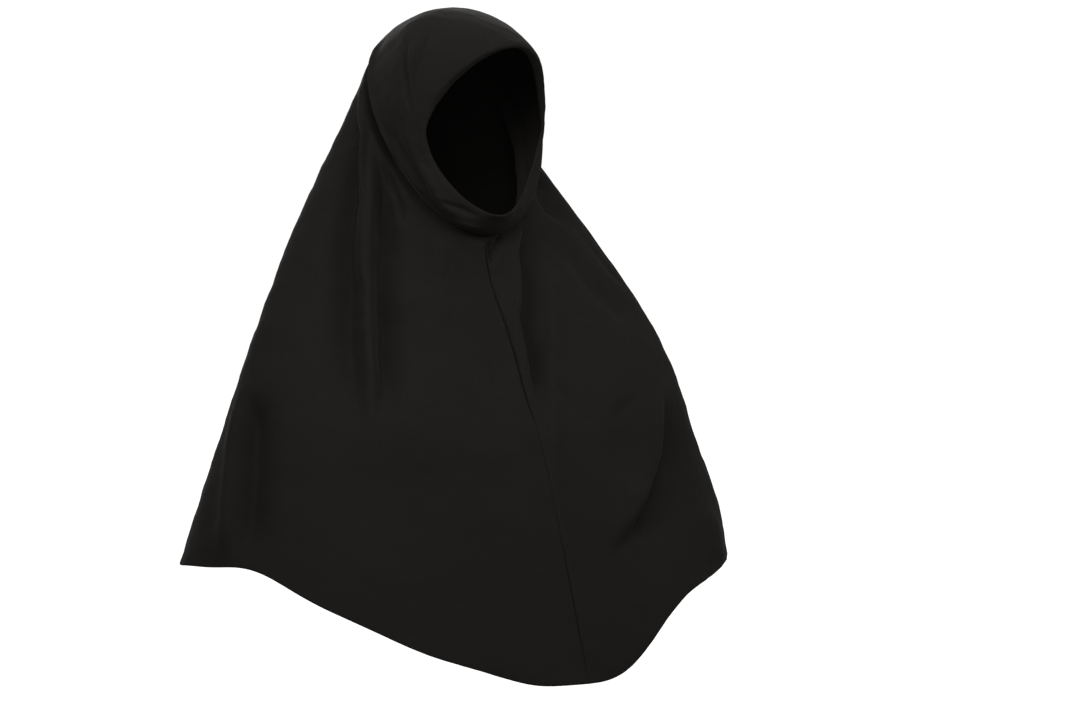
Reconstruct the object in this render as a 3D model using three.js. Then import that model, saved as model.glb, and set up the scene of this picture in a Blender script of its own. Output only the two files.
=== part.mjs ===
// A pull-on hijab with a shoulder cape, as worn: a hood that closes round the face, joined in a
// deep crease behind the ears and under the jaw to a cape that a single seam closes down the front.
// Millimetres, +Z up. The origin is the seat of the crown on the head, the wearer faces -Y and the
// wearer's left is +X. The head is turned a little to the left of the chest.
import * as THREE from "three";

// Cloth and joins
const clothThickness = 1.6;
const hemThickness = 2.6; // the cloth turned over on itself
const pieceGap = 0.5; // between neighbouring pieces
const faceHemWidth = 10; // turned edge round the face
const bottomHemWidth = 14; // turned edge along the bottom
const frontSeamWidth = 5;

// The hood on the head. Every drop runs down from the crown's outer face, a cloth's thickness above
// the origin.
const headTurn = 16; // degrees from the chest, towards the wearer's left
const headWidth = 187; // across the hood at the ears
const headDepth = 200; // from the forehead to the back of the hood
const foreheadDrop = 45; // from the crown to the face opening
const chinDrop = 223; // from the crown to the bottom of the face opening
const throatDrop = 245; // from the crown to the top of the front seam
const faceWidth = 155;
const cheekSetback = 40; // how far the opening's corners lie behind the chin and forehead

// The cape on the body
const shoulderWidth = 439;
const hemWidth = 622;
const frontReach = 241; // from the head's axis forward to the hem
const backReach = 147;
const frontDrop = 658; // from the crown to the hem
const sideDrop = 601;
const backDrop = 612;
const hemSwing = 45; // how much lower the hem hangs where it swings most

// Mesh fineness: columns round the cloth, and rows as shares of the way down each piece
const columns = 72;
const foldSide = 338; // the columns are closest together on this side
const foldGather = 24;
const hoodRows = [0, 0.1, 0.22, 0.36, 0.5, 0.64, 0.77, 0.88, 0.95, 1];
const capeRows = [
  0, 0.012, 0.03, 0.055, 0.085, 0.12, 0.155, 0.19, 0.23, 0.27, 0.31, 0.35, 0.39, 0.43, 0.47, 0.51,
  0.55, 0.6, 0.65, 0.7, 0.75, 0.8, 0.85, 0.9, 0.95, 1,
];

// A table's rows, each with its values under the names of the columns.
function table(names, rows) {
  return rows.map((row) => Object.fromEntries(names.map((name, i) => [name, row[i]])));
}

// Each ring is a closed line round the cloth: 0 degrees is the middle front, 90 the wearer's left,
// 180 the middle back. Its front and back points are shares of headDepth, of the way from chinDrop
// to throatDrop, and of foreheadDrop. Widen goes from faceWidth to headWidth. Skew moves the widest
// place back, square and corner are 2 on an ellipse, setback is a share of cheekSetback.
const hoodRings = table(
  ["at", "frontY", "frontZ", "backY", "backZ", "widen", "skew", "square", "corner", "setback"],
  [
    [0, -0.404, 0, -0.526, 1, 0, 0.01, 1.76, 1.41, 1],
    [0.14, -0.38, 0.19, -0.535, 0.88, 0.29, 0.01, 2, 1.75, 1],
    [0.32, -0.354, 0.46, -0.32, 0.38, 0.7, 0.02, 2.12, 1.97, 0.63],
    [0.52, -0.325, 0.7, -0.046, 0.01, 1.03, 0.05, 2.27, 2.07, 0.17],
    [0.7, -0.3, 0.86, 0.13, 0.05, 1.01, 0.06, 2.13, 2.01, 0.07],
    [0.87, -0.28, 0.96, 0.305, 0.26, 1, 0.04, 2.06, 1.98, 0.03],
    [1, -0.268, 1, 0.395, 0.46, 1.02, 0.03, 1.99, 1.99, 0],
  ],
);

// Front and back are shares of the way from the crease to the hem, in depth and in height. toShoulder
// goes from the crease's width to the shoulders', toHem from there to the hem's. Rise lifts the sides
// to sideDrop, and arch says how soon.
const capeRings = table(
  ["at", "frontY", "frontZ", "backY", "backZ", "toShoulder", "toHem", "skew", "square", "rise", "arch"],
  [
    [0, 0, 0, 0, 0, 0, 0, 0.03, 1.99, 0, 2],
    [0.05, 0.008, 0.04, 0.054, 0.039, 0.09, 0, 0.04, 1.99, 0, 2],
    [0.14, 0.032, 0.11, 0.146, 0.109, 0.26, 0, 0.05, 1.98, 0.01, 2],
    [0.26, 0.098, 0.196, 0.257, 0.201, 0.52, 0, 0.03, 1.96, 0.06, 2],
    [0.38, 0.181, 0.294, 0.36, 0.297, 0.77, 0, 0, 1.88, 0.17, 1.9],
    [0.5, 0.286, 0.396, 0.465, 0.419, 0.94, 0.12, -0.06, 1.81, 0.32, 1.73],
    [0.62, 0.415, 0.503, 0.58, 0.56, 1, 0.3, -0.06, 1.84, 0.48, 1.55],
    [0.75, 0.58, 0.667, 0.719, 0.731, 1, 0.57, -0.01, 1.88, 0.64, 1.44],
    [0.88, 0.785, 0.844, 0.864, 0.878, 1, 0.84, 0.03, 1.89, 0.81, 1.47],
    [1, 1, 1, 1, 1, 1, 1, 0.1, 1.92, 1, 1.58],
  ],
);

// Each fold follows a path of places, an angle and a share of the way down the piece. Width and depth
// are millimetres, and a fold of positive depth stands out of the cloth. The creases run where the
// hood and the cape meet, so both have them.
const creasesAt = (at) => [
  ["crease behind the right ear", 9, -6, [[196, at], [250, at], [318, at]]],
  ["crease under the jaw", 7, -4, [[290, at], [325, at], [376, at]]],
  ["crease behind the left ear", 9, -6, [[20, at], [100, at], [164, at]]],
];
const hoodFolds = table(
  ["name", "width", "depth", "path"],
  [
    ...creasesAt(1),
    ["jaw line", 5, -3, [[280, 0.71], [293, 0.71], [302, 0.74], [316, 0.71], [328, 0.55]]],
    ["jaw roll", 6, 3, [[281, 0.85], [294, 0.85], [306, 0.86], [325, 0.8]]],
    ["temple fold", 5, -3.5, [[225, 0.51], [239, 0.49], [255, 0.44], [267, 0.36]]],
    ["upper temple fold", 5, -3, [[217, 0.41], [228, 0.41], [242, 0.4], [257, 0.38]]],
    ["temple roll", 5, 2, [[223, 0.46], [234, 0.45], [249, 0.43]]],
  ],
);
const capeFolds = table(
  ["name", "width", "depth", "path"],
  [
    ...creasesAt(0),
    ["ear ridge", 13, 10, [[229, 0.025], [267, 0.029], [288, 0.117], [303, 0.292], [309, 0.479], [312, 0.671]]],
    ["ear valley", 18, -7, [[244, 0.075], [277, 0.163], [294, 0.325], [301, 0.496], [306, 0.642]]],
    ["hollow under the ear", 13, -10, [[276, 0.008], [293, 0.05], [307, 0.171], [314, 0.367], [316, 0.625]]],
    ["throat dimple", 8, 3, [[327, 0.013], [331, 0.083], [333, 0.204]]],
    ["seam side ridge", 10, 5, [[11, 0], [8, 0.138], [6, 0.296], [3, 0.546]]],
    ["left chest valley", 14, -7.5, [[34, 0], [25, 0.125], [10, 0.304], [6, 0.45], [2, 0.633]]],
    ["left chest ridge", 14, 4, [[46, 0.092], [26, 0.242], [13, 0.429], [4, 0.633], [0, 0.771]]],
    ["hollow beside the chin", 16, -7, [[86, 0.125], [74, 0.129], [59, 0.158]]],
    ["left neck fold", 11, -5, [[56, 0.175], [47, 0.263], [45, 0.354], [51, 0.425]]],
    ["left shoulder ridge", 11, 4, [[76, 0.217], [71, 0.312], [73, 0.412], [79, 0.487]]],
    ["chest dent", 6, -3, [[17, 0.421], [18, 0.479], [18, 0.637]]],
    ["arm dent", 8, -3, [[36, 0.596], [29, 0.617], [23, 0.629]]],
    ["bust", 48, 7, [[313, 0.65], [330, 0.675], [347, 0.658], [367, 0.617]]],
    ["under the bust", 46, -5, [[318, 0.758], [330, 0.779], [348, 0.758], [363, 0.725]]],
    ["left arm", 40, 9, [[45, 0.546], [33, 0.671], [22, 0.762], [8, 0.812]]],
    ["under the left arm", 26, -11, [[54, 0.646], [41, 0.767], [28, 0.858], [14, 0.892], [-2, 0.917]]],
    ["left corner flare", 26, 6, [[52, 0.85], [49, 0.933], [46, 1]]],
    ["right arm ridge", 14, 8, [[260, 0.633], [267, 0.746], [273, 0.858], [277, 0.979]]],
    ["right arm valley", 18, -11, [[265, 0.613], [280, 0.725], [287, 0.862], [288, 0.983]]],
    ["back fold, right", 34, 9, [[205, 0.1], [208, 0.5], [210, 1.4]]],
    ["back valley", 34, -11, [[182, 0.2], [180, 0.6], [178, 1.4]]],
    ["back fold, left", 34, 9, [[158, 0.1], [152, 0.5], [148, 1.4]]],
    ["left side fold", 28, -10, [[118, 0.3], [112, 0.6], [108, 1.4]]],
  ],
);

// Where the hem swings lower, in degrees and as a share of hemSwing.
const hemSwings = table(
  ["angle", "width", "drop"],
  [
    [268, 14, -0.24],
    [288, 14, -0.64],
    [308, 14, -0.11],
    [328, 14, 0.38],
    [348, 14, 0.78],
    [368, 14, 1],
    [388, 14, -0.24],
    [408, 14, -0.13],
    [428, 14, -0.07],
  ],
);

const { degToRad, lerp, clamp } = THREE.MathUtils;

// Degrees from one angle to another, between -180 and 180.
const turnTo = (from, to) => ((((to - from + 180) % 360) + 360) % 360) - 180;

// A column's value at a place between the rows, on a smooth curve through them.
function valueAt(rows, column, at) {
  const slope = (k) => {
    const before = rows[Math.max(k - 1, 0)];
    const after = rows[Math.min(k + 1, rows.length - 1)];
    return (after[column] - before[column]) / (after.at - before.at);
  };
  let i = 0;
  while (i < rows.length - 2 && at > rows[i + 1].at) i += 1;
  const span = rows[i + 1].at - rows[i].at;
  const t = (at - rows[i].at) / span;
  const rise = rows[i + 1][column] - rows[i][column];
  const leave = slope(i) * span;
  const arrive = slope(i + 1) * span;
  const square = 3 * rise - 2 * leave - arrive;
  const cube = leave + arrive - 2 * rise;
  return rows[i][column] + leave * t + square * t ** 2 + cube * t ** 3;
}

// The ring at a share of the way from the face to the crease.
function hoodRing(at) {
  const value = (column) => valueAt(hoodRings, column, at);
  return {
    frontY: value("frontY") * headDepth,
    frontZ: -lerp(chinDrop, throatDrop, value("frontZ")),
    backY: value("backY") * headDepth,
    backZ: -foreheadDrop * value("backZ"),
    half: lerp(faceWidth, headWidth, value("widen")) / 2,
    skew: value("skew"),
    square: value("square"),
    corner: value("corner"),
    setback: cheekSetback * value("setback"),
    rise: 0,
    arch: 2,
    turn: headTurn,
    shift: 0,
  };
}

const crease = hoodRing(1);

// The ring at a share of the way from the crease to the hem. It turns from the head's facing to the
// chest's, and the seam stays where the head turned it.
function capeRing(at) {
  const value = (column) => valueAt(capeRings, column, at);
  const shoulder = lerp(crease.half, shoulderWidth / 2, value("toShoulder"));
  const facing = headTurn * (1 - value("toShoulder"));
  return {
    frontY: lerp(crease.frontY, -frontReach, value("frontY")),
    frontZ: lerp(crease.frontZ, -frontDrop, value("frontZ")),
    backY: lerp(crease.backY, backReach, value("backY")),
    backZ: lerp(crease.backZ, -backDrop, value("backZ")),
    half: shoulder + ((hemWidth - shoulderWidth) / 2) * value("toHem"),
    skew: value("skew"),
    square: value("square"),
    corner: value("square"),
    setback: 0,
    rise: ((frontDrop + backDrop) / 2 - sideDrop) * value("rise"),
    arch: value("arch"),
    turn: facing,
    shift: (headTurn - facing) * 0.75,
  };
}

// The point of a ring at an angle round the cloth, on its outer face.
function ringPoint(ring, angle) {
  const c = Math.cos(degToRad(angle + ring.shift));
  const s = Math.sin(degToRad(angle + ring.shift));
  const share = (1 - c) / 2 + ring.skew * s * s;
  const x = Math.sign(s) * ring.half * (1 - Math.abs(c) ** ring.corner) ** (1 / ring.square);
  const y = lerp(ring.frontY, ring.backY, share) + ring.setback * s * s;
  const z = clothThickness + lerp(ring.frontZ, ring.backZ, share) + ring.rise * Math.abs(s) ** ring.arch;
  return new THREE.Vector3(x, y, z).applyAxisAngle(new THREE.Vector3(0, 0, 1), degToRad(ring.turn));
}

function hemDrop(angle, at) {
  const drop = (swing) => swing.drop * Math.exp(-((turnTo(swing.angle, angle) / swing.width) ** 2));
  return hemSwing * hemSwings.reduce((sum, swing) => sum + drop(swing), 0) * at ** 6;
}

const hoodCloth = {
  folds: hoodFolds,
  meetsAt: 1,
  neighbour: () => capeCloth,
  point: (angle, at) => ringPoint(hoodRing(at), angle),
};
const capeCloth = {
  folds: capeFolds,
  meetsAt: 0,
  neighbour: () => hoodCloth,
  point(angle, at) {
    const p = ringPoint(capeRing(at), angle);
    p.z -= hemDrop(angle, at);
    return p;
  },
};

// How far a fold moves the cloth at a place, where a degree and the whole way down have the lengths
// given. The fold is strongest halfway along its path and fades to the ends.
function foldAt(fold, angle, at, degree, way) {
  const legs = fold.path.length - 1;
  let away = Infinity;
  let along = 0;
  for (let i = 0; i < legs; i += 1) {
    const [fromAngle, from] = fold.path[i];
    const [toAngle, to] = fold.path[i + 1];
    const run = [turnTo(fromAngle, toAngle) * degree, (to - from) * way];
    const here = [turnTo(fromAngle, angle) * degree, (at - from) * way];
    const t = clamp((here[0] * run[0] + here[1] * run[1]) / (run[0] ** 2 + run[1] ** 2), 0, 1);
    const distance = Math.hypot(here[0] - t * run[0], here[1] - t * run[1]);
    if (distance < away) {
      away = distance;
      along = (i + t) / legs;
    }
  }
  return fold.depth * Math.exp(-((away / fold.width) ** 2)) * Math.sin(Math.PI * along) ** 0.7;
}

// The direction out of the cloth, and the lengths of a degree and of the whole way down there.
function layOf(cloth, angle, at) {
  const low = Math.max(at - 0.01, 0);
  const high = Math.min(at + 0.01, 1);
  const down = cloth.point(angle, high).sub(cloth.point(angle, low));
  const across = cloth.point(angle + 1, at).sub(cloth.point(angle - 1, at));
  const degree = across.length() / 2;
  const way = down.length() / (high - low);
  return { out: down.cross(across).normalize(), degree, way };
}

// The outer face of the cloth at a place, with its folds, and the direction out of it. Where the hood
// and the cape meet, both take the direction halfway between their own.
function surfaceAt(cloth, angle, at) {
  const { out, degree, way } = layOf(cloth, angle, at);
  if (Math.abs(at - cloth.meetsAt) < 0.005) {
    out.add(layOf(cloth.neighbour(), angle, 1 - cloth.meetsAt).out).normalize();
  }
  const depth = cloth.folds.reduce((sum, fold) => sum + foldAt(fold, angle, at, degree, way), 0);
  return { point: cloth.point(angle, at).addScaledVector(out, depth), out };
}

// The outer and inner point of a layer of cloth at a place.
function layerAt(cloth, angle, at, thickness) {
  const { point, out } = surfaceAt(cloth, angle, at);
  return [point, point.clone().addScaledVector(out, -thickness)];
}

// The share of the way down at which a piece is a distance from its top or its bottom edge.
function shareFrom(edge, cloth, angle, distance) {
  const start = cloth.point(angle, edge);
  let near = 0;
  let far = 0.5;
  for (let i = 0; i < 24; i += 1) {
    const middle = (near + far) / 2;
    if (cloth.point(angle, Math.abs(edge - middle)).distanceTo(start) < distance) near = middle;
    else far = middle;
  }
  return Math.abs(edge - near);
}

// The angle that a width takes up across the middle front.
function angleAcross(cloth, at, width) {
  return width / cloth.point(0.5, at).distanceTo(cloth.point(-0.5, at));
}

// A closed wall through rows of places, each with its outer and inner point.
function wall(rows, round) {
  const across = rows[0].length;
  const points = (face) => rows.flatMap((row) => row.flatMap((pair) => pair[face].toArray()));
  const positions = [...points(0), ...points(1)];
  const inner = across * rows.length;
  const index = [];
  const quad = (a, b, c, d) => index.push(a, b, c, a, c, d);
  const steps = round ? across : across - 1;
  const last = rows.length - 1;
  const id = (r, c) => r * across + (c % across);
  for (let c = 0; c < steps; c += 1) {
    for (let r = 0; r < last; r += 1) {
      quad(id(r, c), id(r + 1, c), id(r + 1, c + 1), id(r, c + 1));
      quad(inner + id(r, c), inner + id(r, c + 1), inner + id(r + 1, c + 1), inner + id(r + 1, c));
    }
    quad(id(0, c), id(0, c + 1), inner + id(0, c + 1), inner + id(0, c));
    quad(id(last, c + 1), id(last, c), inner + id(last, c), inner + id(last, c + 1));
  }
  for (let r = 0; r < last && !round; r += 1) {
    quad(id(r + 1, 0), id(r, 0), inner + id(r, 0), inner + id(r + 1, 0));
    quad(id(r, steps), id(r + 1, steps), inner + id(r + 1, steps), inner + id(r, steps));
  }
  const geometry = new THREE.BufferGeometry();
  geometry.setAttribute("position", new THREE.Float32BufferAttribute(positions, 3));
  geometry.setIndex(index);
  geometry.computeVertexNormals();
  return geometry;
}

// Spreads columns round the cloth, closer together where the folds are, and keeps 0 where it is.
function gathered(even) {
  const lag = (angle) => Math.sin(degToRad(angle - foldSide));
  return even - foldGather * (lag(even) - lag(0));
}

const angles = Array.from({ length: columns }, (_, c) => gathered((360 * c) / columns));

// The hood, from the turned edge round the face to the crease.
function hood() {
  const start = angles.map((angle) => shareFrom(0, hoodCloth, angle, faceHemWidth + pieceGap));
  const place = (t, angle, c) => layerAt(hoodCloth, angle, lerp(start[c], 1, t), clothThickness);
  return wall(hoodRows.map((t) => angles.map((angle, c) => place(t, angle, c))), true);
}

function faceHem() {
  const end = angles.map((angle) => shareFrom(0, hoodCloth, angle, faceHemWidth));
  const place = (t, angle, c) => layerAt(hoodCloth, angle, t * end[c], hemThickness);
  return wall([0, 1].map((t) => angles.map((angle, c) => place(t, angle, c))), true);
}

// The cape, from the crease to the bottom hem, open where the front seam closes it.
function cape() {
  const places = (t) => {
    const edge = angleAcross(capeCloth, t, frontSeamWidth / 2 + pieceGap);
    return Array.from({ length: columns + 1 }, (_, c) => {
      const angle = lerp(edge, 360 - edge, gathered((360 * c) / columns) / 360);
      const start = shareFrom(0, capeCloth, angle, pieceGap);
      const end = shareFrom(1, capeCloth, angle, bottomHemWidth + pieceGap);
      return layerAt(capeCloth, angle, lerp(start, end, t), clothThickness);
    });
  };
  return wall(capeRows.map(places), false);
}

function frontSeam() {
  const start = shareFrom(0, capeCloth, 0, pieceGap);
  const end = shareFrom(1, capeCloth, 0, bottomHemWidth + pieceGap);
  const places = (t) => {
    const edge = angleAcross(capeCloth, t, frontSeamWidth / 2);
    return [-edge, 0, edge].map((angle) => layerAt(capeCloth, angle, lerp(start, end, t), hemThickness));
  };
  return wall(capeRows.map(places), false);
}

function bottomHem() {
  const start = angles.map((angle) => shareFrom(1, capeCloth, angle, bottomHemWidth));
  const place = (t, angle, c) => layerAt(capeCloth, angle, lerp(start[c], 1, t), hemThickness);
  return wall([0, 1].map((t) => angles.map((angle, c) => place(t, angle, c))), true);
}

const jersey = { color: 0x1f1e1c, roughness: 0.85, metalness: 0 };
const hijab = new THREE.Group();

function add(name, geometry) {
  const mesh = new THREE.Mesh(geometry, new THREE.MeshStandardMaterial(jersey));
  mesh.name = name;
  hijab.add(mesh);
}

add("hood", hood());
add("face_hem", faceHem());
add("cape", cape());
add("front_seam", frontSeam());
add("bottom_hem", bottomHem());

export default hijab;
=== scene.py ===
import math

import bmesh
import bpy
import numpy as np
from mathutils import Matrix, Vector


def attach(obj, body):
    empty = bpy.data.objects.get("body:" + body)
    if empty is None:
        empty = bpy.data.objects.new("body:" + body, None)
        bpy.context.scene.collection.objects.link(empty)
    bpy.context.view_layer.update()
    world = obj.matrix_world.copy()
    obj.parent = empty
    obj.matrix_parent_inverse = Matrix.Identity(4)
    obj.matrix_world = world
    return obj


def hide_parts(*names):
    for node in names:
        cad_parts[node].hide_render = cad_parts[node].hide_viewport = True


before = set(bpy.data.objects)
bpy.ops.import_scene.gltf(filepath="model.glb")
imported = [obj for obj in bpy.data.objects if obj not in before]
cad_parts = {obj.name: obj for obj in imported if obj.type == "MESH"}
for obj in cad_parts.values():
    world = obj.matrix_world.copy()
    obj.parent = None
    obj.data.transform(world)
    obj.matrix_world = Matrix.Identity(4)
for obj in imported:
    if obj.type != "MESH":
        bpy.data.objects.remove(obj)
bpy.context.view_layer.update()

print("frame loaded with", len(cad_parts), "nodes")

# The camera, at the photograph's angle
view = {
    "azimuth": -22.0,  # degrees from straight ahead, towards the wearer's right
    "elevation": 4.0,
    "distance": 3.6,
    "lens": 111.1,
    "aside": 0.0918,  # how far the aim lies right of the origin and below it
    "below": 0.378,
    "sensor": 36,  # millimetres, as the lens
    "farEnd": 60,
}


def placeCamera():
    az, el = math.radians(view["azimuth"]), math.radians(view["elevation"])
    back = Vector((math.sin(az) * math.cos(el), -math.cos(az) * math.cos(el), math.sin(el)))
    right = Vector((math.cos(az), math.sin(az), 0))
    aim = right * view["aside"] - back.cross(right) * view["below"]
    data = bpy.data.cameras.new("camera")
    data.sensor_width = view["sensor"]
    data.lens = view["lens"]
    data.clip_end = view["farEnd"]
    cam = bpy.data.objects.new("camera", data)
    cam.rotation_euler = back.to_track_quat("Z", "Y").to_euler()
    cam.location = aim + back * view["distance"]
    bpy.context.scene.collection.objects.link(cam)
    bpy.context.scene.camera = cam


placeCamera()
print("camera placed")

# The form that the cloth has when worn, in millimetres. Rings run round the cloth: 0 degrees is
# the middle front, 90 the wearer's left, 180 the middle back.
form = {
    "clothThickness": 1.6,
    "headTurn": 16, "headWidth": 187, "headDepth": 200,
    "foreheadDrop": 45, "chinDrop": 223, "throatDrop": 245,
    "faceWidth": 155, "cheekSetback": 40,
    "shoulderWidth": 439, "hemWidth": 622, "frontReach": 241, "backReach": 147,
    "frontDrop": 658, "sideDrop": 601, "backDrop": 612, "hemSwing": 45,
    "swingFade": 6,  # how fast the hem's swings fade upwards
    "seamTurn": 0.75,  # the share of the head's turn that the seam gives back on its way down
}

hoodColumns = (
    "at", "frontY", "frontZ", "backY", "backZ", "widen", "skew", "square", "corner", "setback",
)
hoodRings = [
    (0, -0.404, 0, -0.526, 1, 0, 0.01, 1.76, 1.41, 1),
    (0.14, -0.38, 0.19, -0.535, 0.88, 0.29, 0.01, 2, 1.75, 1),
    (0.32, -0.354, 0.46, -0.32, 0.38, 0.7, 0.02, 2.12, 1.97, 0.63),
    (0.52, -0.325, 0.7, -0.046, 0.01, 1.03, 0.05, 2.27, 2.07, 0.17),
    (0.7, -0.3, 0.86, 0.13, 0.05, 1.01, 0.06, 2.13, 2.01, 0.07),
    (0.87, -0.28, 0.96, 0.305, 0.26, 1, 0.04, 2.06, 1.98, 0.03),
    (1, -0.268, 1, 0.395, 0.46, 1.02, 0.03, 1.99, 1.99, 0),
]

capeColumns = (
    "at", "frontY", "frontZ", "backY", "backZ",
    "toShoulder", "toHem", "skew", "square", "rise", "arch",
)
capeRings = [
    (0, 0, 0, 0, 0, 0, 0, 0.03, 1.99, 0, 2),
    (0.05, 0.008, 0.04, 0.054, 0.039, 0.09, 0, 0.04, 1.99, 0, 2),
    (0.14, 0.032, 0.11, 0.146, 0.109, 0.26, 0, 0.05, 1.98, 0.01, 2),
    (0.26, 0.098, 0.196, 0.257, 0.201, 0.52, 0, 0.03, 1.96, 0.06, 2),
    (0.38, 0.181, 0.294, 0.36, 0.297, 0.77, 0, 0, 1.88, 0.17, 1.9),
    (0.5, 0.286, 0.396, 0.465, 0.419, 0.94, 0.12, -0.06, 1.81, 0.32, 1.73),
    (0.62, 0.415, 0.503, 0.58, 0.56, 1, 0.3, -0.06, 1.84, 0.48, 1.55),
    (0.75, 0.58, 0.667, 0.719, 0.731, 1, 0.57, -0.01, 1.88, 0.64, 1.44),
    (0.88, 0.785, 0.844, 0.864, 0.878, 1, 0.84, 0.03, 1.89, 0.81, 1.47),
    (1, 1, 1, 1, 1, 1, 1, 0.1, 1.92, 1, 1.58),
]

hemSwings = [  # angle, width, drop as a share of hemSwing
    (268, 14, -0.24), (288, 14, -0.64), (308, 14, -0.11), (328, 14, 0.38), (348, 14, 0.78),
    (368, 14, 1), (388, 14, -0.24), (408, 14, -0.13), (428, 14, -0.07),
]

# Folds: how far each stands out, how far it spreads on the left and the right hand of someone who
# walks along its path, and the path's places, each an angle and a share of the way down the piece.
hoodFolds = [
    ("crease behind the right ear", -16, 4, 4, [(192, 1), (250, 1), (322, 1)]),
    ("crease under the jaw", -5, 4, 4, [(290, 1), (325, 1), (384, 1)]),
    ("crease behind the left ear", -8, 6, 6, [(14, 1), (100, 1), (166, 1)]),
    ("roll beside the right ear", 4.5, 7, 5,
     [(208, 0.92), (240, 0.93), (275, 0.935), (305, 0.95)]),
    ("temple fold", -4.5, 4, 3,
     [(225.5, 0.55), (237.5, 0.488), (247, 0.456), (255, 0.419), (261, 0.375), (268, 0.325)]),
    ("upper temple fold", -4, 5, 3,
     [(216.5, 0.419), (226, 0.406), (233, 0.406), (244, 0.4), (252, 0.381), (258.5, 0.369)]),
    ("temple roll", 2.6, 4, 4, [(224, 0.463), (234, 0.444), (244, 0.431), (252.5, 0.413)]),
    ("cheek fold", -4, 4, 6,
     [(277.5, 0.738), (288.5, 0.713), (297, 0.694), (303.5, 0.675), (310, 0.65), (320, 0.6)]),
    ("cheek roll", 3.6, 5, 4,
     [(280.5, 0.831), (289, 0.819), (297, 0.812), (306.5, 0.794), (315.5, 0.738)]),
    ("inner cheek roll", 1.2, 5, 5, [(292.5, 0.219), (304.5, 0.288), (316, 0.425)]),
    ("chin fold", -3, 6, 5, [(320, 0.494), (324, 0.3), (329.5, 0.194), (345.5, 0.2)]),
    ("chin roll", 1.6, 4, 4, [(333, 0.688), (344, 0.494), (356, 0.463)]),
]
capeFolds = [
    ("crease behind the right ear", -16, 4, 5, [(192, 0), (250, 0), (322, 0)]),
    ("crease under the jaw", -5, 4, 4, [(290, 0), (325, 0), (384, 0)]),
    ("crease behind the left ear", -8, 6, 6, [(14, 0), (100, 0), (166, 0)]),
    ("ear ridge", 11, 7, 6,
     [(229, 0.027), (264.5, 0.04), (285.5, 0.127), (301.5, 0.298), (307, 0.483), (311.5, 0.677)]),
    ("near side of the ear ridge", 9, 7, 6,
     [(269.5, 0.015), (289.5, 0.108), (305, 0.287), (309.5, 0.479), (313.5, 0.675)]),
    ("ear valley", -15, 8, 28,
     [(235.5, 0.067), (263, 0.073), (281, 0.146), (297.5, 0.312), (303.5, 0.492), (308, 0.658)]),
    ("hollow under the ear", -17, 18, 8,
     [(275.5, 0.006), (291, 0.06), (304.5, 0.179), (312, 0.371), (313.5, 0.537), (314, 0.637)]),
    ("fold under the ear", -5, 5, 4, [(282.5, 0.021), (293, 0.033), (303.5, 0.054), (310, 0.094)]),
    ("throat dimple", 2.2, 5, 5, [(331.5, 0.052), (333, 0.104), (334, 0.177)]),
    ("throat fold", -6, 4, 4, [(16, 0.01), (8.5, 0.037), (2.5, 0.092)]),
    ("throat tuck", -5, 4, 3, [(3, 0.006), (3, 0.046), (3, 0.106)]),
    ("seam side ridge", 9, 5, 16,
     [(29.5, 0), (18.5, 0.113), (5.5, 0.3), (4, 0.423), (3.5, 0.567)]),
    ("left chest valley", -18, 22, 6,
     [(42.5, 0.027), (24.5, 0.131), (9, 0.3), (6.5, 0.431), (2.5, 0.627)]),
    ("left chest ridge", 6, 12, 8,
     [(49.5, 0.154), (28, 0.25), (13, 0.433), (4, 0.635), (0.5, 0.74)]),
    ("hollow beside the chin", -13, 22, 22, [(86.5, 0.121), (75.5, 0.133), (59.5, 0.158)]),
    ("left neck fold", -6, 13, 12,
     [(47.5, 0.194), (52, 0.271), (51, 0.344), (56.5, 0.423), (67, 0.469)]),
    ("left neck ridge", 2.5, 14, 14, [(62.5, 0.196), (60.5, 0.298), (64.5, 0.394), (72, 0.462)]),
    ("left back edge fold", -2, 5, 5, [(76, 0.217), (71, 0.296), (71, 0.365), (71.5, 0.431)]),
    ("small shoulder fold", -2.4, 5, 5, [(34, 0.333), (40, 0.392), (44, 0.435)]),
    ("chest dent", -3.2, 5, 4, [(11.5, 0.454), (14, 0.544), (16.5, 0.596), (18.5, 0.648)]),
    ("upper chest dent", -1.6, 4, 5, [(15.5, 0.429), (21, 0.458), (24, 0.504)]),
    ("seam dent", -1.8, 3, 3, [(6.5, 0.588), (7, 0.623), (8, 0.656)]),
    ("arm dent", -2.6, 5, 6, [(39.5, 0.594), (29, 0.619), (22, 0.633)]),
    ("elbow dent", -1.5, 4, 4, [(23, 0.648), (24, 0.671), (24.5, 0.698)]),
    ("bust", 13, 80, 150, [(300, 0.65), (320, 0.65), (345, 0.64), (372, 0.605)]),
    ("under the bust", -3.5, 18, 80, [(300, 0.735), (320, 0.718), (345, 0.695), (372, 0.665)]),
    ("left arm", 10, 5, 30,
     [(54, 0.594), (42.5, 0.667), (35, 0.725), (27.5, 0.775), (22, 0.808), (13.5, 0.819)]),
    ("under the left arm", -16, 40, 6,
     [(52.5, 0.625), (44, 0.692), (35, 0.756), (27, 0.808), (20, 0.835), (9, 0.848)]),
    ("left corner flare", 6, 26, 26, [(52, 0.85), (48.5, 0.933), (46.5, 1)]),
    ("right arm ridge", 8, 6, 12,
     [(259, 0.606), (264.5, 0.692), (270, 0.779), (276, 0.898), (279.5, 0.996)]),
    ("right arm valley", -19, 26, 9,
     [(263.5, 0.625), (271, 0.681), (277, 0.771), (282, 0.894), (284, 1)]),
    ("back fold, right", 9, 34, 34, [(205, 0.1), (208, 0.5), (210, 1.4)]),
    ("back valley", -11, 34, 34, [(182, 0.2), (180, 0.6), (178, 1.4)]),
    ("back fold, left", 9, 34, 34, [(158, 0.1), (152, 0.5), (148, 1.4)]),
    ("left side fold", -10, 28, 28, [(118, 0.3), (112, 0.6), (108, 1.4)]),
]


def lerp(a, b, t):
    return a + (b - a) * t


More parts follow.
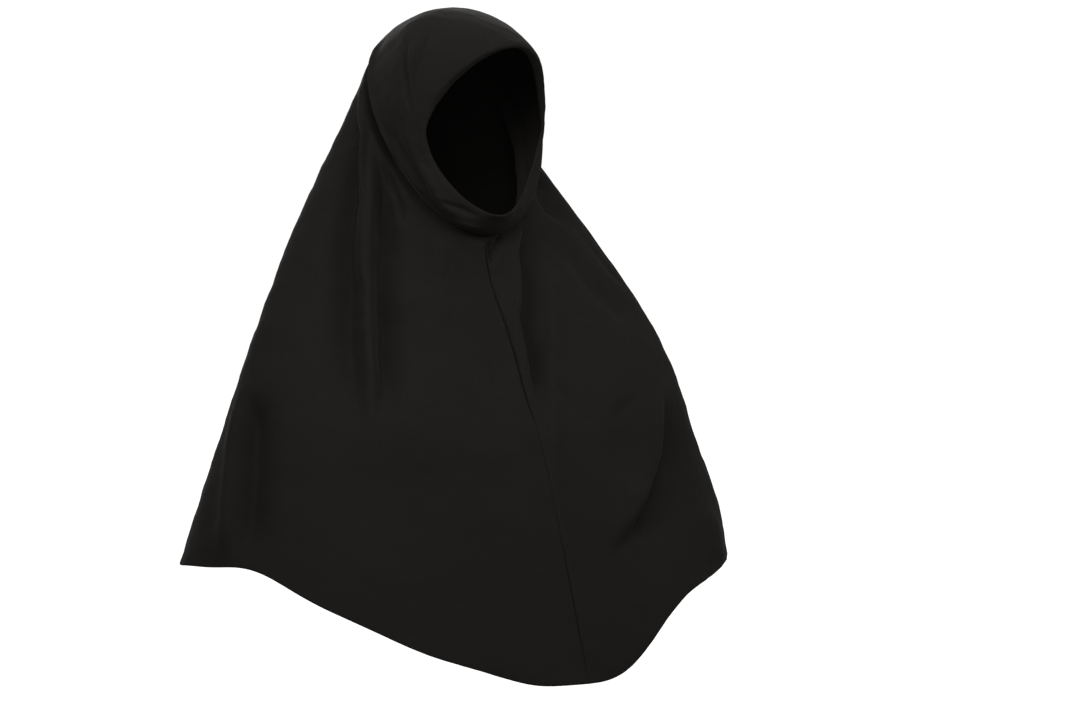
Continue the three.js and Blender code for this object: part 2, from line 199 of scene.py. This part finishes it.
def turnTo(start, end):
    return (end - start + 180) % 360 - 180


def columnAt(names, rows, name, at):  # a smooth curve through a table's column
    x = np.array([row[0] for row in rows], float)
    y = np.array([row[names.index(name)] for row in rows], float)
    last = len(x) - 1
    row = np.arange(last + 1)
    before, after = np.maximum(row - 1, 0), np.minimum(row + 1, last)
    slope = (y[after] - y[before]) / (x[after] - x[before])
    i = np.clip(np.searchsorted(x, at, "left") - 1, 0, last - 1)
    span = x[i + 1] - x[i]
    t = (at - x[i]) / span
    rise = y[i + 1] - y[i]
    leave, arrive = slope[i] * span, slope[i + 1] * span
    square, cube = 3 * rise - 2 * leave - arrive, leave + arrive - 2 * rise
    return y[i] + leave * t + square * t ** 2 + cube * t ** 3


def hoodRing(at):
    value = {name: columnAt(hoodColumns, hoodRings, name, at) for name in hoodColumns[1:]}
    return {
        "frontY": value["frontY"] * form["headDepth"],
        "frontZ": -lerp(form["chinDrop"], form["throatDrop"], value["frontZ"]),
        "backY": value["backY"] * form["headDepth"],
        "backZ": -form["foreheadDrop"] * value["backZ"],
        "half": lerp(form["faceWidth"], form["headWidth"], value["widen"]) / 2,
        "skew": value["skew"], "square": value["square"], "corner": value["corner"],
        "setback": form["cheekSetback"] * value["setback"],
        "rise": 0 * at, "arch": 2 + 0 * at,
        "turn": form["headTurn"] + 0 * at, "shift": 0 * at,
    }


def capeRing(at):
    value = {name: columnAt(capeColumns, capeRings, name, at) for name in capeColumns[1:]}
    crease = {key: float(held[0]) for key, held in hoodRing(np.ones(1)).items()}
    shoulder = lerp(crease["half"], form["shoulderWidth"] / 2, value["toShoulder"])
    facing = form["headTurn"] * (1 - value["toShoulder"])
    middleDrop = (form["frontDrop"] + form["backDrop"]) / 2
    return {
        "frontY": lerp(crease["frontY"], -form["frontReach"], value["frontY"]),
        "frontZ": lerp(crease["frontZ"], -form["frontDrop"], value["frontZ"]),
        "backY": lerp(crease["backY"], form["backReach"], value["backY"]),
        "backZ": lerp(crease["backZ"], -form["backDrop"], value["backZ"]),
        "half": shoulder + (form["hemWidth"] - form["shoulderWidth"]) / 2 * value["toHem"],
        "skew": value["skew"], "square": value["square"], "corner": value["square"],
        "setback": 0 * at,
        "rise": (middleDrop - form["sideDrop"]) * value["rise"], "arch": value["arch"],
        "turn": facing, "shift": (form["headTurn"] - facing) * form["seamTurn"],
    }


def ringPoint(ring, angle):
    turned = np.radians(angle + ring["shift"])
    c, s = np.cos(turned), np.sin(turned)
    share = (1 - c) / 2 + ring["skew"] * s * s
    x = np.sign(s) * ring["half"] * (1 - np.abs(c) ** ring["corner"]) ** (1 / ring["square"])
    y = lerp(ring["frontY"], ring["backY"], share) + ring["setback"] * s * s
    z = form["clothThickness"] + lerp(ring["frontZ"], ring["backZ"], share)
    z = z + ring["rise"] * np.abs(s) ** ring["arch"]
    t = np.radians(ring["turn"])
    return np.stack([x * np.cos(t) - y * np.sin(t), x * np.sin(t) + y * np.cos(t), z], -1)


def hoodForm(angle, at):
    return ringPoint(hoodRing(at), angle)


def capeForm(angle, at):
    p = ringPoint(capeRing(at), angle)
    drop = sum(
        share * np.exp(-(turnTo(place, angle) / width) ** 2) for place, width, share in hemSwings
    )
    p[:, 2] -= form["hemSwing"] * drop * at ** form["swingFade"]
    return p


drape = {
    "step": 0.006,  # half the stretch over which the cloth's slope is taken
    "foldEnd": 0.32,  # the share of a path over which a fold fades in and out
    "meetReach": 8,  # how far from the crease the hood and the cape share their direction
    "broadWave": (0.5, 62, 1),  # height, size and seed
    "smallWave": (0.22, 23, 4),
}


# The way out of the cloth, and how long a degree and the whole way down are at that place.
def layOf(cloth, angle, at):
    low, high = np.maximum(at - drape["step"], 0), np.minimum(at + drape["step"], 1)
    down = cloth["form"](angle, high) - cloth["form"](angle, low)
    across = cloth["form"](angle + 0.5, at) - cloth["form"](angle - 0.5, at)
    out = np.cross(down, across)
    out /= np.linalg.norm(out, axis=1, keepdims=True)
    return out, np.linalg.norm(across, axis=1), np.linalg.norm(down, axis=1) / (high - low)


def foldDepth(fold, angle, at, degree, way):
    depth, leftSpread, rightSpread, path = fold[1:]
    away = np.full(len(angle), np.inf)
    side, along = np.zeros(len(angle)), np.zeros(len(angle))
    for i in range(len(path) - 1):
        (a0, d0), (a1, d1) = path[i], path[i + 1]
        runX, runY = turnTo(a0, a1) * degree, (d1 - d0) * way
        hereX, hereY = turnTo(a0, angle) * degree, (at - d0) * way
        long = runX ** 2 + runY ** 2 + 1e-9
        t = np.clip((hereX * runX + hereY * runY) / long, 0, 1)
        distance = np.hypot(hereX - t * runX, hereY - t * runY)
        nearer = distance < away
        away = np.where(nearer, distance, away)
        side = np.where(nearer, runY * hereX - runX * hereY, side)
        along = np.where(nearer, (i + t) / (len(path) - 1), along)
    spread = np.where(side > 0, leftSpread, rightSpread)
    end = np.clip(np.minimum(along, 1 - along) / drape["foldEnd"], 0, 1)
    return depth * np.exp(-(away / spread) ** 2) * end ** 2 * (3 - 2 * end)


hoodCloth = {"form": hoodForm, "folds": hoodFolds, "meetsAt": 1}
capeCloth = {"form": capeForm, "folds": capeFolds, "meetsAt": 0}


def wave(p, size, seed):  # soft unevenness, about -1 to 1
    k = 2 * math.pi / size
    total = np.zeros(len(p))
    for i in range(5):
        turn = 1.7 * i + seed
        way = np.array([math.cos(turn), math.sin(turn * 1.3), math.sin(turn)])
        bend = 0.8 * np.sin(p @ way[::-1] * k * 0.7)
        total += np.sin(p @ way * k * (1 + 0.23 * i) + 2.1 * i + seed + bend)
    return total / 3


seam = {
    "groove": 0.9,  # how far the groove spreads on each side
    "depthAt": [0, 0.06, 0.55, 0.62, 0.72, 0.84, 0.92, 1],  # shares of the way down
    "depth": [0.4, 2.8, 2.6, 1.0, 0.5, 1.8, 2.2, 1.2],
    "gap": 0.12,  # from the seam to the cape's edge on each side
    "crowd": 3.0,  # the columns of the cloth stand closer within so many degrees of the seam
    "crowding": 0.86,  # the share of their spacing that they lose there
    "pucker": 0.16, "puckerPitch": 17, "puckerReach": 9,
}


def clothPoint(cloth, angle, at, inset=0.0):
    out, degree, way = layOf(cloth, angle, at)
    other = capeCloth if cloth is hoodCloth else hoodCloth
    fromMeeting = np.abs(at - cloth["meetsAt"]) * way
    close = 0.5 * np.exp(-(fromMeeting / drape["meetReach"]) ** 2)[:, None]
    met = layOf(other, angle, np.full(len(at), 1.0 - cloth["meetsAt"]))[0]
    out = out * (1 - close) + met * close
    out /= np.linalg.norm(out, axis=1, keepdims=True)
    depth = sum(foldDepth(fold, angle, at, degree, way) for fold in cloth["folds"])
    p = cloth["form"](angle, at)
    for height, size, seed in (drape["broadWave"], drape["smallWave"]):
        depth = depth + height * wave(p, size, seed)
    if cloth is capeCloth:
        fromSeam = np.abs(turnTo(0, angle)) * degree
        groove = np.exp(-(fromSeam / seam["groove"]) ** 2)
        depth -= np.interp(at, seam["depthAt"], seam["depth"]) * groove
        # the puckers come in groups, and start below the throat
        pucker = np.sin(2 * np.pi * at * way / seam["puckerPitch"] + 2 * np.sin(at * 17))
        pucker = pucker * (1 + np.sin(at * 31))
        near = np.exp(-(fromSeam / seam["puckerReach"]) ** 2)
        depth += seam["pucker"] * pucker * near * np.clip((at - 0.1) * 6, 0, 1)
    return p + out * (depth - inset)[:, None]


# The share of the way down that lies a distance in from a piece's top (0) or bottom (1) edge.
def distanceIn(cloth, edge, angle, distance):
    near, far = np.zeros(len(angle)), np.full(len(angle), 0.5)
    start = cloth["form"](angle, np.full(len(angle), float(edge)))
    for _ in range(24):
        middle = (near + far) / 2
        reach = np.linalg.norm(cloth["form"](angle, np.abs(edge - middle)) - start, axis=1)
        short = reach < distance
        near, far = np.where(short, middle, near), np.where(short, far, middle)
    return np.abs(edge - near)


# The columns of the cloth stand closer on the side where most folds are.
columns = {"side": 338, "gather": 24}


def gathered(even):
    def lag(angle):
        return np.sin(np.radians(angle - columns["side"]))
    return even - columns["gather"] * (lag(even) - lag(0))


def crowded(angle):  # and closer still beside the seam
    away, crowd, drawn = np.minimum(angle, 360 - angle), seam["crowd"], seam["crowding"]
    away = (away - drawn * crowd * (1 - np.exp(-away / crowd))) * 180 / (180 - drawn * crowd)
    return np.where(angle < 180, away, 360 - away)


# The pattern that the cloth was cut to: the cape is a wide fan, the hood a band.
pattern = {
    "capeInner": 327,  # the fan's inner radius
    "capeFan": 105,  # degrees
    "capeLong": 480,
    "hoodLong": 175,
    "hoodDegree": 1.66,  # how long the band is for each degree round the head
}


def flatPlace(cloth, angle, at, down=0.0):  # where a place lay before it was sewn, in metres
    if cloth is capeCloth:
        radius = pattern["capeInner"] + at * pattern["capeLong"] + down
        turn = np.radians((angle - 180) / 360 * pattern["capeFan"])
        return np.stack([radius * np.sin(turn), -radius * np.cos(turn)], -1) / 1000
    aside = (angle - 180) * pattern["hoodDegree"]
    return np.stack([aside, -(at * pattern["hoodLong"] + down)], -1) / 1000


def placed(bm, name):
    mesh = bpy.data.meshes.new(name)
    bm.to_mesh(mesh)
    bm.free()
    obj = bpy.data.objects.new(name, mesh)
    bpy.context.scene.collection.objects.link(obj)
    return obj


# A sheet of cloth: place turns a grid's shares across and down into points in millimetres and
# places on the pattern.
def layGrid(name, across, down, place, weld=False):
    bm = bmesh.new()
    layer = bm.loops.layers.uv.new("cloth")
    bmesh.ops.create_grid(bm, x_segments=across, y_segments=down, size=0.5)
    bm.verts.ensure_lookup_table()
    grid = np.array([v.co[:2] for v in bm.verts]) + 0.5
    points, flat = place(grid[:, 0], 1 - grid[:, 1])
    for v, point in zip(bm.verts, points * 0.001):
        v.co = point
    for face in bm.faces:
        face.smooth = True
        for loop in face.loops:
            loop[layer].uv = flat[loop.vert.index]
    if weld:
        rim = [v for v in bm.verts if v.is_boundary]
        bmesh.ops.remove_doubles(bm, verts=rim, dist=1e-6)
    for edge in bm.edges:
        edge.smooth = not edge.is_boundary
    obj = placed(bm, name)
    obj.data.materials.append(jerseyLook)
    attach(obj, "root")
    return obj


def thicken(obj, millimetres):
    wall = obj.modifiers.new("thickness", "SOLIDIFY")
    wall.thickness = millimetres * 0.001
    wall.offset = -1
    wall.use_quality_normals = True


class Wire:  # a socket that takes sums
    def __init__(self, paint, socket):
        self.paint, self.socket = paint, socket

    def calc(self, operation, *values):
        return self.paint.add("ShaderNodeMath", {"operation": operation}, dict(enumerate(values)))

    def __add__(self, other): return self.calc("ADD", self, other)
    def __radd__(self, other): return self.calc("ADD", other, self)
    def __sub__(self, other): return self.calc("SUBTRACT", self, other)
    def __rsub__(self, other): return self.calc("SUBTRACT", other, self)
    def __mul__(self, other): return self.calc("MULTIPLY", self, other)
    def __rmul__(self, other): return self.calc("MULTIPLY", other, self)
    def __truediv__(self, other): return self.calc("DIVIDE", self, other)
    def __rtruediv__(self, other): return self.calc("DIVIDE", other, self)
    def __pow__(self, other): return self.calc("POWER", self, other)
    def __abs__(self): return self.calc("ABSOLUTE", self)
    def sine(self): return self.calc("SINE", self)
    def fraction(self): return self.calc("FRACT", self)
    def clamped(self): return self.calc("MINIMUM", self.calc("MAXIMUM", self, 0), 1)


class Paint:  # the nodes of a material or of the world
    def __init__(self, holder, shader="Principled BSDF", **fixed):
        self.holder = holder
        holder.use_nodes = True
        self.tree = holder.node_tree
        self.shader = self.tree.nodes[shader]
        for socket, value in fixed.items():
            self.set(socket.replace("_", " "), value)

    def add(self, kind, settings=None, sockets=None, output=0):
        node = self.tree.nodes.new(kind)
        for key, value in (settings or {}).items():
            setattr(node, key, value)
        for key, value in (sockets or {}).items():
            self.feed(node.inputs[key], value)
        return Wire(self, node.outputs[output])

    def noise(self, place, scale, detail, roughness=0.5):
        sockets = {"Vector": place, "Scale": scale, "Detail": detail, "Roughness": roughness}
        return self.add("ShaderNodeTexNoise", {}, sockets)

    def blend(self, share, first, second):  # from one colour to another
        sockets = {0: share, 6: (*first, 1), 7: (*second, 1)}
        return self.add("ShaderNodeMix", {"data_type": "RGBA"}, sockets, output=2)

    def bump(self, height, strength, distance):
        sockets = {"Strength": strength, "Distance": distance, "Height": height}
        return self.add("ShaderNodeBump", {}, sockets)

    def feed(self, socket, value):
        if isinstance(value, Wire):
            self.tree.links.new(value.socket, socket)
        else:
            socket.default_value = value

    def set(self, socket, value):
        self.feed(self.shader.inputs[socket], value)


jersey = {
    "colour": (0.0130, 0.0117, 0.0103),
    "faded": (0.0170, 0.0155, 0.0138),
    "wale": 0.0011,  # metres from one column of loops to the next
    "course": 0.0008,
    "loopHeight": 0.00006,
    "bump": 0.6,
    "roughness": 0.82,
    "fuzz": 2600,  # how fine the fibres, the faint mottle and the broad clouds are
    "faint": 240,
    "cloud": 9,
    "sheen": 0.045,
    "sheenTint": (0.9, 0.88, 0.84, 1),
}


def jerseyPaint():
    paint = Paint(
        bpy.data.materials.new("jersey"), Specular_IOR_Level=0.12,
        Sheen_Weight=jersey["sheen"], Sheen_Roughness=0.45, Sheen_Tint=jersey["sheenTint"],
    )
    place = paint.add("ShaderNodeUVMap", {"uv_map": "cloth"})
    u, v = (paint.add("ShaderNodeSeparateXYZ", {}, {"Vector": place}, axis) for axis in "XY")
    body = paint.add("ShaderNodeTexCoord", output="Object")
    # the loops of the knit: columns of small chevrons
    column = abs((u / jersey["wale"]).fraction() - 0.5) * 2
    row = (v / jersey["course"] + column * 0.5).fraction() * (2 * math.pi)
    loops = (1 - column ** 2) * 0.6 + row.sine() * 0.25
    fuzz = paint.noise(place, jersey["fuzz"], 3, 0.7)
    cloud = paint.noise(body, jersey["cloud"], 4, 0.6)
    faint = paint.noise(place, jersey["faint"], 2)
    worn = (cloud * 1.3 - 0.3 + (faint - 0.5) * 0.5 + (fuzz - 0.5) * 0.7).clamped()
    paint.set("Base Color", paint.blend(worn, jersey["colour"], jersey["faded"]))
    paint.set("Roughness", jersey["roughness"] + (fuzz - 0.5) * 0.2)
    paint.set("Normal", paint.bump(loops + fuzz * 0.5, jersey["bump"], jersey["loopHeight"]))
    return paint.holder


thread = {
    "dark": (0.011, 0.010, 0.009),
    "light": (0.016, 0.015, 0.014),
    "twist": 900,
    "bump": 0.5,
    "twistHeight": 0.0001,
}


def threadPaint():
    paint = Paint(bpy.data.materials.new("thread"), Roughness=0.7, Specular_IOR_Level=0.15)
    body = paint.add("ShaderNodeTexCoord", output="Object")
    twist = paint.noise(body, thread["twist"], 2)
    paint.set("Base Color", paint.blend(twist, thread["dark"], thread["light"]))
    paint.set("Normal", paint.bump(twist, thread["bump"], thread["twistHeight"]))
    return paint.holder


jerseyLook, threadLook = jerseyPaint(), threadPaint()
print("materials made")

tuck = {  # how the hood and the cape end at their hems
    "overlap": 0.3,  # how far they run in under the hem's edge
    "dip": 0.12,  # how far they sink there, and over what distance
    "reach": 0.6,
}


def tuckedIn(fromHem):
    return tuck["dip"] * np.exp(-(fromHem / tuck["reach"]) ** 2)


hoodSet = {
    "across": 330, "down": 110,  # columns and rows of the grid
    "wall": 1.1,
    "hemWidth": 10,
    "gather": 1.25,  # above 1 the rows stand closer towards the crease
}


def makeHood():
    def place(u, v):
        angle = gathered(360 * u)
        start = distanceIn(hoodCloth, 0, angle, hoodSet["hemWidth"] - tuck["overlap"])
        at = lerp(start, 1, 1 - (1 - v) ** hoodSet["gather"])
        dip = tuckedIn(np.abs(at - start) * pattern["hoodLong"])
        return clothPoint(hoodCloth, angle, at, dip), flatPlace(hoodCloth, angle, at)
    obj = layGrid("hood_cloth", hoodSet["across"], hoodSet["down"], place, weld=True)
    thicken(obj, hoodSet["wall"])
    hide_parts("hood")
    return obj


hood = makeHood()
print("hood made")

capeSet = {
    "across": 330, "down": 140,
    "wall": 1.1,
    "hemWidth": 14,
    "gather": 1.3,  # above 1 the rows stand closer towards the crease
}


def makeCape():
    def place(u, v):
        t = v ** capeSet["gather"]
        angle = crowded(gathered(360 * u))
        degree = layOf(capeCloth, np.zeros(len(t)), t)[1]
        slit = seam["gap"] / degree
        angle = lerp(slit, 360 - slit, angle / 360)
        end = distanceIn(capeCloth, 1, angle, capeSet["hemWidth"] - tuck["overlap"])
        at = t * end
        dip = tuckedIn((end - at) * pattern["capeLong"])
        return clothPoint(capeCloth, angle, at, dip), flatPlace(capeCloth, angle, at)
    obj = layGrid("cape_cloth", capeSet["across"], capeSet["down"], place)
    thicken(obj, capeSet["wall"])
    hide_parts("cape")
    return obj


cape = makeCape()
print("cape made")

# Each turned hem is a band whose section runs round this loop of places. Each place: the share of
# the hem's width in from the edge, and the millimetres below the cloth's outer face.
hemSection = [
    (1.0, 1.3), (1.0, 0.5), (0.985, 0.1), (0.94, 0), (0.6, 0), (0.35, 0), (0.12, 0),
    (0.05, 0.25), (0.015, 0.7), (0, 1.1), (0.015, 1.6), (0.05, 2.0), (0.12, 2.3),
    (0.35, 2.4), (0.6, 2.4), (0.85, 2.4), (1.08, 2.4), (1.13, 2.2), (1.13, 1.4), (1.08, 1.25),
]
hemSet = {"faceColumns": 420, "bottomColumns": 760, "ripple": 0.06}


def alongLoop(loop, share, column):  # the value of a column of a loop of places, at a share of it
    return np.interp(share * (len(loop) - 1), range(len(loop)), [row[column] for row in loop])


def makeHem(name, node, cloth, edge, width, across):
    loop = hemSection + hemSection[:1]
    def place(u, v):
        angle = gathered(360 * u)
        inward, inset = alongLoop(loop, v, 0) * width, alongLoop(loop, v, 1)
        at = np.zeros(len(u))
        for step in np.unique(np.round(inward, 5)):
            here = np.abs(inward - step) < 1e-4
            at[here] = distanceIn(cloth, edge, angle[here], step)
        quick = 3 if edge else 1  # the long hem ripples in as small steps as the short one
        ripple = hemSet["ripple"] * np.sin(angle * 1.7 * quick) * np.sin(angle * 0.31 + 1)
        return clothPoint(cloth, angle, at, inset + ripple), flatPlace(cloth, angle, at, inset)
    obj = layGrid(name, across, len(loop) - 1, place, weld=True)
    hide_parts(node)
    return obj


faceHem = makeHem(
    "face_hem_band", "face_hem", hoodCloth, 0, hoodSet["hemWidth"], hemSet["faceColumns"],
)
bottomHem = makeHem(
    "bottom_hem_band", "bottom_hem", capeCloth, 1, capeSet["hemWidth"], hemSet["bottomColumns"],
)
print("hems made")

# The front seam's allowance lies flat inside, behind the groove.
allowance = {
    "width": 9, "thick": 1.4,
    "under": 2.4,  # how far below the cape's outer face it starts
    "start": 0.004,  # share of the way down
    "fromHem": 1,
    "down": 260,  # rows of the grid
    "section": [  # shares of half the width and of the thickness
        (-1, 0.0), (-0.5, 0.0), (0, 0.0), (0.5, 0.0), (1, 0.0), (1.04, 0.5),
        (1, 1.0), (0, 1.0), (-1, 1.0), (-1.04, 0.5), (-1, 0.0),
    ],
}


def makeSeam():
    loop = allowance["section"]
    def place(u, v):
        aside = alongLoop(loop, u, 0) * allowance["width"] / 2
        deep = alongLoop(loop, u, 1) * allowance["thick"]
        middle = np.zeros(len(u))
        end = distanceIn(capeCloth, 1, middle, capeSet["hemWidth"] + allowance["fromHem"])
        at = lerp(allowance["start"], 1, v) * end
        angle = aside / layOf(capeCloth, middle, at)[1]
        point = clothPoint(capeCloth, angle, at, allowance["under"] + deep)
        return point, flatPlace(capeCloth, angle, at)
    obj = layGrid("seam_allowance", len(loop) - 1, allowance["down"], place, weld=True)
    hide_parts("front_seam")
    return obj


frontSeam = makeSeam()
print("front seam made")

stitch = {
    "long": 2.5, "pitch": 3.1, "thick": 0.3,
    "fromEdge": 1.8,  # how far the row lies from the hem's inner edge
    "proud": 0.05,  # how far above the cloth the row's length is measured, in so many slices
    "slices": 3600,
}


def makeStitches(name, cloth, edge, inward):
    def onCloth(angle, inset=0.0):
        return clothPoint(cloth, angle, distanceIn(cloth, edge, angle, inward), inset)
    fine = np.linspace(0, 360, stitch["slices"] + 1)
    line = onCloth(fine, -stitch["proud"])
    away = np.concatenate([[0], np.cumsum(np.linalg.norm(np.diff(line, axis=0), axis=1))])
    count = round(away[-1] / stitch["pitch"])
    spots = np.interp(np.arange(count) / count * away[-1], away, fine)
    centre = onCloth(spots)
    ahead = onCloth(spots + 0.1) - centre
    out = layOf(cloth, spots, distanceIn(cloth, edge, spots, inward))[0]
    bm = bmesh.new()
    for point, way, normal in zip(centre, ahead, out):
        x = Vector(way).normalized()
        y = Vector(normal).cross(x).normalized()
        z = x.cross(y)
        made = bmesh.ops.create_uvsphere(bm, u_segments=6, v_segments=4, radius=0.5)["verts"]
        for v in made:
            a, b, c = v.co
            along = x * c * stitch["long"]
            aside, high = y * b * stitch["thick"], z * a * stitch["thick"]
            v.co = (Vector(point) + along + aside + high) * 0.001
    for face in bm.faces:
        face.smooth = True
    obj = placed(bm, name)
    obj.data.materials.append(threadLook)
    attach(obj, "root")
    return obj


faceStitches = makeStitches(
    "face_hem_stitches", hoodCloth, 0, hoodSet["hemWidth"] - stitch["fromEdge"],
)
hemStitches = makeStitches(
    "bottom_hem_stitches", capeCloth, 1, capeSet["hemWidth"] - stitch["fromEdge"],
)
print("stitches made")


def clothArea(obj):
    return sum(face.area for face in obj.data.polygons)


print("cloth areas", round(clothArea(hood), 4), round(clothArea(cape), 4))

studio = {
    "floor": -1.62,
    "floorSize": 16,
    "white": 1.05,  # how bright the floor and the sky are to the eye
    "world": 0.17,  # how bright the sky is as a light
    "spread": 100,
    "aim": (0, 0, -0.15),
    "lights": [  # name, place, size, watts
        ("overhead", (0.1, -0.9, 0.9), (0.7, 0.7), 1.3),
        ("front", (-0.5, -1.6, 0.8), (0.8, 0.8), 1.4),
        ("low front", (-1.1, -2.8, -0.1), (0.8, 0.8), 0.6),
        ("left front", (-1.3, -1.1, 0.6), (0.8, 0.8), 3.1),
        ("right front", (1.2, -1.3, 0.7), (0.8, 0.8), 1.7),
        ("right", (2.3, -0.4, 0.9), (1.0, 1.4), 0.4),
        ("back left", (-1.2, 1.8, 1.5), (1.4, 1.4), 2.2),
        ("behind", (0.5, 2.4, 0.7), (1.4, 1.4), 8.0),
    ],
}


def makeStudio():
    bm = bmesh.new()
    bmesh.ops.create_circle(bm, cap_ends=True, segments=64, radius=studio["floorSize"])
    for v in bm.verts:
        v.co.z = studio["floor"]
    floor = placed(bm, "floor")
    paint = Paint(
        bpy.data.materials.new("pale_floor"), Base_Color=(0.9, 0.9, 0.9, 1), Roughness=0.9,
        Specular_IOR_Level=0.1, Emission_Color=(1, 1, 1, 1), Emission_Strength=studio["white"],
    )
    floor.data.materials.append(paint.holder)
    floor.visible_diffuse = floor.visible_glossy = False  # its own glow lights nothing


def softLight(name, place, size, watts):
    data = bpy.data.lights.new(name, "AREA")
    data.shape = "RECTANGLE"
    data.size, data.size_y = size
    data.energy = watts
    data.spread = math.radians(studio["spread"])
    lamp = bpy.data.objects.new(name, data)
    lamp.location = place
    lamp.visible_camera = False
    back = Vector(place) - Vector(studio["aim"])
    lamp.rotation_euler = back.to_track_quat("Z", "Y").to_euler()
    bpy.context.scene.collection.objects.link(lamp)


def makeWorld():
    world = bpy.data.worlds.new("studio white")
    bpy.context.scene.world = world
    sky = Paint(world, "Background", Color=(1, 1, 1, 1))
    seen = sky.add("ShaderNodeLightPath", output="Is Camera Ray")
    sockets = {"Value": seen, "To Min": studio["world"], "To Max": studio["white"]}
    sky.set("Strength", sky.add("ShaderNodeMapRange", {}, sockets))


makeStudio()
makeWorld()
for lamp in studio["lights"]:
    softLight(*lamp)
bpy.context.scene.view_settings.view_transform = "Standard"
print("studio made")
